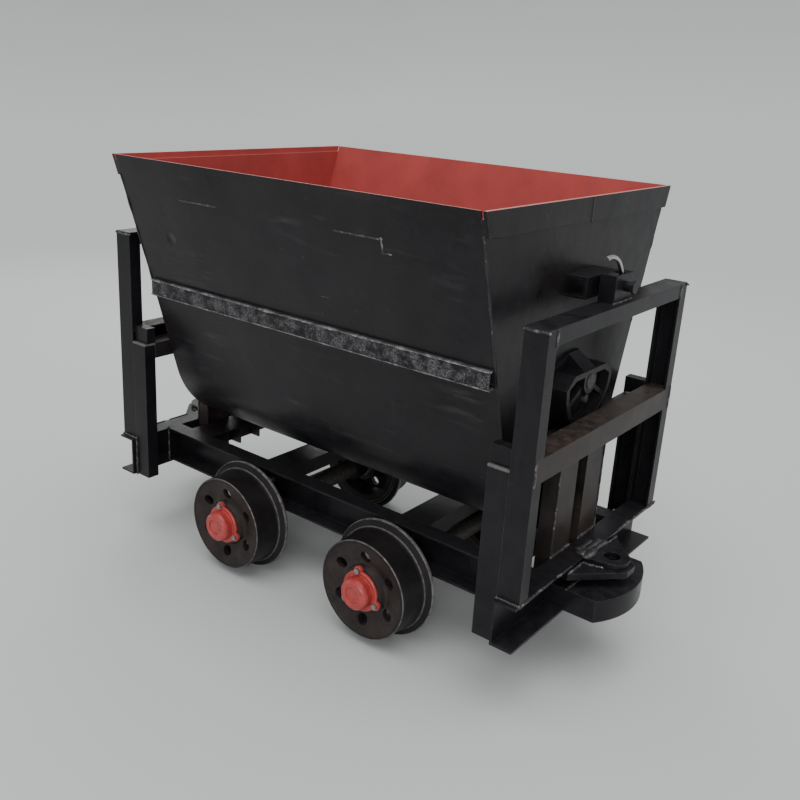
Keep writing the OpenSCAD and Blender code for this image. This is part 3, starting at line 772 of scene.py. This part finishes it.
@dataclass
class Bucket:
    """The tipping bucket: plates, trough, rim bands, rockers and their welds."""

    welds: WeldShop
    side: tuple = field(default_factory=lambda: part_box("side_plates"))
    wall: tuple = field(default_factory=lambda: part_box("end_walls"))
    band: tuple = field(default_factory=lambda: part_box("rim_bands"))
    bar: tuple = field(default_factory=lambda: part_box("knuckle_bars"))
    plate: tuple = field(default_factory=lambda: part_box("backing_plates"))

    def dress(self) -> None:
        """Gives the bucket's nodes their finishes."""
        dress(["side_plates", "trough", "end_walls", "rim_bands"], Finish.BUCKET.material())
        dress(["knuckle_bars"], Finish.KNUCKLE.material())
        dress(["backing_plates", "latch_keeper"], Finish.FRAME.material())
        dress(["rockers"], Finish.CASTING.material())
        dress(["rocker_bolts"], Finish.BOLT.material())
        dress(["centre_pins"], Finish.SHAFT.material())

    def side_y(self, z: float) -> float:
        """Finds the half width over the side plates.

        Args:
            z: Height to measure at.

        Returns:
            Distance of the outer face from the car's middle plane.
        """
        low, high = self.side
        knuckle_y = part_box("trough")[1][1]
        return knuckle_y + (z - low[2]) * (high[1] - knuckle_y) / (high[2] - low[2])

    def build(self) -> None:
        """Lays the bucket's welds."""
        self.weld_corners()
        self.weld_bands()
        self.weld_knuckles()
        self.weld_backing()
        self.weld_marks()

    def weld_corners(self) -> None:
        """Welds each corner from the knuckle up to the rim band."""
        x, knuckle, top = self.wall[1][0] - 0.003, self.side[0][2], self.band[0][2]
        seam = [WeldLine((x, -self.side_y(knuckle), knuckle), (x, -self.side_y(top), top),
                         (0.4, -1, 0.1), *Bead.CORNER)]
        self.welds.lay("bucket_corner_welds", "bucket", mirrored(seam, x=True, y=True),
                       Finish.SEAM)

    def weld_bands(self) -> None:
        """Tacks the rim bands along their foot and welds the seam in their middle."""
        wall_x, band_x = self.wall[1][0], self.band[1][0]
        foot, rim = self.band[0][2], self.side[1][2]
        half = self.side_y(foot) - 0.01
        tacks = [WeldLine((wall_x, share * half, foot), (wall_x, (share + 0.1) * half, foot),
                          (1, 0, -1), *Bead.TACK)
                 for share in (-0.98, -0.62, -0.3, 0.0, 0.3, 0.6, 0.85)]
        seam = [WeldLine((band_x, 0.004, foot), (band_x, 0.004, rim - 0.008),
                         (1, 0, 0), *Bead.SEAM)]
        self.welds.lay("rim_band_welds", "bucket", mirrored(tacks + seam, x=True), Finish.SEAM)

    def weld_knuckles(self) -> None:
        """Welds the knuckle bars along their top and leaves spatter on their edges."""
        x, face, top = self.bar[1][0], 0.001 - self.bar[1][1], self.bar[1][2]
        y, low = -self.side_y(self.side[0][2]), self.bar[0][2]
        bead = [WeldLine((-x, y, top), (x, y, top), (0, -1, 1.2), *Bead.TOE)]
        crust = [WeldLine((-x, face, z), (x, face, z), (0, -1, lean), *Bead.CRUST)
                 for z, lean in ((top - 0.001, 1), (low + 0.001, -1))]
        self.welds.lay("knuckle_welds", "bucket", mirrored(bead, y=True), Finish.SEAM)
        self.welds.lay("knuckle_spatter", "bucket", mirrored(crust, y=True), Finish.SPATTER)

    def weld_backing(self) -> None:
        """Welds the backing plates along their foot and a little way up their sides."""
        x, y, z = self.wall[1][0], self.plate[1][1], self.plate[0][2]
        up = z + 0.12
        around = [WeldLine((x, y, z), (x, y, up), (1, 1, 0), *Bead.FILLET),
                  WeldLine((x, -y, z), (x, y, z), (1, 0, -1), *Bead.FILLET),
                  WeldLine((x, -y, z), (x, -y, up), (1, -1, 0), *Bead.FILLET)]
        self.welds.lay("backing_plate_welds", "bucket", mirrored(around, x=True), Finish.WELD)

    def weld_marks(self) -> None:
        """Lays the repair welds on the near side plate, placed by x and height over the rails."""
        marks = [((-0.384, 1.145), (-0.238, 1.145)), ((0.196, 1.143), (0.340, 1.143)),
                 ((0.341, 1.143), (0.341, 1.109)), ((0.341, 1.109), (0.363, 1.109))]
        lines = []
        for ends in marks:
            start, end = ((x, -self.side_y(z + RAIL_TOP), z + RAIL_TOP) for x, z in ends)
            lines.append(WeldLine(start, end, (0, -1, -0.3), *Bead.REPAIR))
        self.welds.lay("side_plate_marks", "bucket", lines, Finish.WELD)


@dataclass
class EndFrames:
    """The two end frames that the rockers roll on, with posts, supports and tracks."""

    welds: WeldShop
    legs: tuple = field(default_factory=lambda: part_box("portal_legs"))
    bars: tuple = field(default_factory=lambda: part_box("top_bars"))
    ties: tuple = field(default_factory=lambda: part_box("tie_bars"))
    props: tuple = field(default_factory=lambda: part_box("supports"))
    stops: tuple = field(default_factory=lambda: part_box("stop_blocks"))

    def dress(self) -> None:
        """Gives the end frames' nodes their finishes."""
        dress(["portal_legs", "top_bars", "posts", "stop_blocks"], Finish.FRAME.material())
        dress(["tie_bars", "supports"], Finish.DUSTY.material())
        dress(["track_rails"], Finish.RAIL.material())
        dress(["post_caps"], Finish.CAP.material())

    def build(self) -> None:
        """Lays the end frames' welds."""
        self.weld_portals()
        self.weld_supports()
        self.weld_stops()

    def weld_portals(self) -> None:
        """Welds the legs to the top bars, the tie bars and the beams."""
        x, y, foot = self.legs[1][0], self.legs[1][1], self.legs[0][2]
        low, top = self.bars[0][2], self.bars[1][2]
        inner, flange, toe = x - (top - low) * 1.6, 0.040, 0.006
        inset, under = y - toe, top - toe
        lines = [WeldLine((x, y - flange, top - flange), (x, y - flange, under),
                          (1, 0, 0), *Bead.TACK),
                 WeldLine((x, y - flange, foot), (x, y, foot), (1, 0, 0.8), *Bead.FOOT),
                 WeldLine((inner, y, foot), (x, y, foot), (0, 1, 0.8), *Bead.FOOT),
                 WeldLine((inner, y, under), (x, y, under), (0, 1, 0), *Bead.SEAM),
                 WeldLine((x, inset, self.ties[0][2]), (x, inset, self.ties[1][2]),
                          (1, 0, 0), *Bead.TACK)]
        self.welds.lay("end_frame_welds", "frame", mirrored(lines, x=True, y=True), Finish.WELD)

    def weld_supports(self) -> None:
        """Welds the track supports to the beams and up their outer corner."""
        x, y, top = self.props[1][0], self.props[1][1], self.props[1][2]
        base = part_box("end_beams")[1][2]
        lines = [WeldLine((x, y - 0.1, base), (x, y, base), (1, 0, 1), *Bead.PROP),
                 WeldLine((x, y, base), (x, y, top), (1, 1, 0), *Bead.PROP_CORNER)]
        self.welds.lay("support_welds", "frame", mirrored(lines, x=True, y=True), Finish.WELD)

    def weld_stops(self) -> None:
        """Welds the stop blocks to the post caps along their inner edge."""
        x, y, z = self.stops[1][0], self.stops[1][1] - 0.032, self.stops[0][2]
        lines = [WeldLine((x - 0.05, y, z), (x, y, z), (0, -1, 1), *Bead.FILLET)]
        self.welds.lay("stop_block_welds", "frame", mirrored(lines, x=True, y=True),
                       Finish.BARE_WELD)


@dataclass
class Underframe:
    """Sills, beams, cross members, axle seats and their bolts."""

    welds: WeldShop
    beams: tuple = field(default_factory=lambda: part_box("end_beams"))
    sills: tuple = field(default_factory=lambda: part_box("side_sills"))

    def dress(self) -> None:
        """Gives the underframe's nodes their finishes."""
        dress(["side_sills", "end_beams", "cross_members", "tie_plates"], Finish.FRAME.material())
        dress(["axle_seats"], Finish.CASTING.material())
        dress(["seat_bolts", "web_bolts", "axle_nuts"], Finish.BOLT.material())
        dress(["axles"], Finish.SHAFT.material())

    def build(self) -> None:
        """Lays the underframe's welds."""
        x, y, z = self.beams[1][0] - 0.001, self.beams[1][1] - 0.015, self.beams[1][2]
        dashes = [WeldLine((x, start, z), (x, start + 0.07, z), (0.6, 0, 1), *Bead.DASH)
                  for start in (-0.30, -0.20, -0.38, 0.16, 0.26, 0.34)]
        web_x, sill_y = self.sills[1][0], self.sills[1][1]
        post_x = web_x - 0.001
        post = [WeldLine((post_x, y, self.beams[0][2]), (post_x, y, z),
                         (-0.2, 1, 0), *Bead.POST)]
        joint = [WeldLine((web_x, sill_y, self.sills[0][2]), (web_x, sill_y, self.sills[1][2]),
                          (-1, 1, 0), *Bead.POST)]
        lines = mirrored(dashes, x=True) + mirrored(post + joint, x=True, y=True)
        self.welds.lay("underframe_welds", "frame", lines, Finish.WELD)


@dataclass
class Couplers:
    """Bumper blocks, coupler plates and lugs, with the lumpy welds that hold them."""

    welds: WeldShop
    lug: tuple = field(default_factory=lambda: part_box("lug_doublers"))
    plate: tuple = field(default_factory=lambda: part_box("coupler_plates"))
    bumper: tuple = field(default_factory=lambda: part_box("bumpers"))
    root: float = field(default_factory=lambda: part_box("end_beams")[1][0])

    def dress(self) -> None:
        """Gives the couplers' nodes their finish."""
        dress(["bumpers", "coupler_plates", "lug_doublers"], Finish.COUPLER.material())

    def build(self) -> None:
        """Lays the couplers' welds."""
        x, half, reach = self.root, 0.060, 0.14
        lug_z, plate_z, bumper_z = self.lug[1][2] + 0.001, self.plate[1][2], self.bumper[1][2]
        lump = [WeldLine((x - inset, -half * share, lug_z), (x - inset, half * share, lug_z),
                         (0, 0, 1), *Bead.ROOT)
                for inset, share in ((-0.004, 1.0), (0.012, 0.9), (0.028, 0.55))]
        side = [WeldLine((x, -reach, plate_z), (x, -half, plate_z), (0.5, 0, 1), *Bead.LUG),
                WeldLine((x + 0.004, -half, plate_z), (x + 0.05, -0.05, plate_z),
                         (0, -1, 1), *Bead.LUG_SIDE)]
        low = [WeldLine((x, -reach, bumper_z), (x, reach, bumper_z), (0.2, 0, 1), *Bead.BUMPER)]
        self.welds.lay("coupler_root_welds", "frame", mirrored(lump, x=True), Finish.DUSTY_WELD)
        self.welds.lay("coupler_welds", "frame",
                       mirrored(mirrored(side, y=True) + low, x=True), Finish.WELD)


@dataclass
class Latch:
    """The sliding latch on the top bar."""

    welds: WeldShop
    housing: tuple = field(default_factory=lambda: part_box("latch_housing"))

    def dress(self) -> None:
        """Gives the latch's nodes their finishes."""
        dress(["latch_housing"], Finish.FRAME.material())
        dress(["latch_bolt"], Finish.CASTING.material())
        dress(["latch_handle"], Finish.BRIGHT.material())

    def build(self) -> None:
        """Lays the weld along the housing's foot."""
        low, high = self.housing
        line = [WeldLine((high[0], low[1], low[2]), (high[0], high[1], low[2]),
                         (1, 0, 1), *Bead.TOE)]
        self.welds.lay("latch_welds", "frame", line, Finish.WELD)


@dataclass
class WheelSet:
    """One wheel with its bearings, hub cap and cap bolts."""

    number: int

    def build(self) -> None:
        """Dresses the wheel set; its worn rings are centred on its own axle."""
        low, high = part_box(f"wheel_{self.number}")
        centre = tuple((a + b) / 2 for a, b in zip(low, high))
        dress([f"wheel_{self.number}"], CastWheel(f"cast_wheel_{self.number}", centre).build())
        dress([f"hub_cap_{self.number}"], HubEnamel(f"hub_enamel_{self.number}").build())
        dress([f"bearings_{self.number}", f"cap_bolts_{self.number}"], Finish.BOLT.material())


@dataclass
class Studio:
    """Pale floor, soft light and the camera."""

    eye: Vec = (1.6669, -2.1176, 1.5329)
    yaw: float = 2.225
    pitch: float = -0.320
    roll: float = 0.057
    lens_mm: float = 41.03
    shift: tuple[float, float] = (0.0115, -0.0275)
    sensor_mm: float = 36.0
    floor_size: float = 60.0
    wall_height: float = 25.0
    world: str = "dfe3e6"
    world_power: float = 0.70

    def camera(self) -> None:
        """Places the camera above the near side's end, looking down along the car."""
        ahead = Vector((math.cos(self.pitch) * math.cos(self.yaw),
                        math.cos(self.pitch) * math.sin(self.yaw), math.sin(self.pitch)))
        right = ahead.cross(Vector((0, 0, 1))).normalized()
        over = right.cross(ahead)
        c, s = math.cos(self.roll), math.sin(self.roll)
        right, over = c * right + s * over, c * over - s * right
        data = bpy.data.cameras.new("camera")
        data.lens, data.sensor_width = self.lens_mm, self.sensor_mm
        data.shift_x, data.shift_y = self.shift
        obj = bpy.data.objects.new("camera", data)
        turn = Matrix((right, over, -ahead)).transposed().to_4x4()
        obj.matrix_world = Matrix.Translation(self.eye) @ turn
        bpy.context.collection.objects.link(obj)
        bpy.context.scene.camera = obj

    def sweep(self) -> None:
        """Models the paper sweep: a floor whose far edge curves up behind the car."""
        floor = primitive(bpy.ops.mesh.primitive_plane_add, "floor", size=self.floor_size)
        bpy.ops.object.mode_set(mode="EDIT")
        bpy.ops.mesh.select_all(action="DESELECT")
        bpy.ops.mesh.select_mode(type="EDGE")
        work = bmesh.from_edit_mesh(floor.data)
        edge_at = self.floor_size / 2 - 1
        for edge in work.edges:
            middle = (edge.verts[0].co + edge.verts[1].co) / 2
            edge.select_set(middle.y > edge_at or middle.x < -edge_at)
        bmesh.update_edit_mesh(floor.data)
        bpy.ops.mesh.extrude_region_move(
            TRANSFORM_OT_translate={"value": (0, 0, self.wall_height)})
        bpy.ops.object.mode_set(mode="OBJECT")
        bend = floor.modifiers.new("bend", "BEVEL")
        bend.width, bend.segments, bend.limit_method = 8.0, 16, "ANGLE"
        bpy.ops.object.modifier_apply(modifier="bend")
        bpy.ops.object.shade_smooth()
        floor.data.materials.append(StudioFloor().build())

    def light(self, name: str, kind: str, place: Vec, target: Vec, power: float,
              size: float) -> None:
        """Adds a soft light that faces a target.

        Args:
            name: The light's name.
            kind: AREA or SUN.
            place: Where it hangs.
            target: What it faces.
            power: Watts for an area light, irradiance for a sun.
            size: Side of an area light in metres, or a sun's angle in radians.
        """
        data = bpy.data.lights.new(name, kind)
        data.energy = power
        if kind == "SUN":
            data.angle = size
        else:
            data.size = size
        obj = bpy.data.objects.new(name, data)
        obj.location = place
        obj.rotation_euler = (Vector(target) - Vector(place)).to_track_quat("-Z", "Y").to_euler()
        bpy.context.collection.objects.link(obj)

    def build(self) -> None:
        """Builds the floor, lights and world."""
        self.camera()
        self.sweep()
        self.light("overcast", "SUN", (0.5, -0.9, 4.5), (0, 0, 0.6), power=1.9, size=1.0)
        self.light("window", "AREA", (2.6, -4.4, 2.2), (0, 0, 0.6), power=70, size=2.2)
        self.light("far_door", "AREA", (-3.0, 2.6, 3.0), (0, 0, 0.8), power=50, size=2.5)
        world = bpy.data.worlds.new("studio")
        world.use_nodes = True
        background = world.node_tree.nodes["Background"].inputs
        background[0].default_value = srgb(self.world)
        background[1].default_value = self.world_power
        bpy.context.scene.world = world


def main() -> None:
    """Builds every sub-assembly in turn."""
    logging.basicConfig(level=logging.INFO, format="%(name)s: %(message)s")
    welds = WeldShop()
    Studio().build()
    for kind in (Bucket, EndFrames, Underframe, Couplers, Latch):
        part = kind(welds)
        part.dress()
        part.build()
        log.info("built %s", kind.__name__)
    for number in (1, 2, 3, 4):
        WheelSet(number).build()


if __name__ == "__main__":
    main()
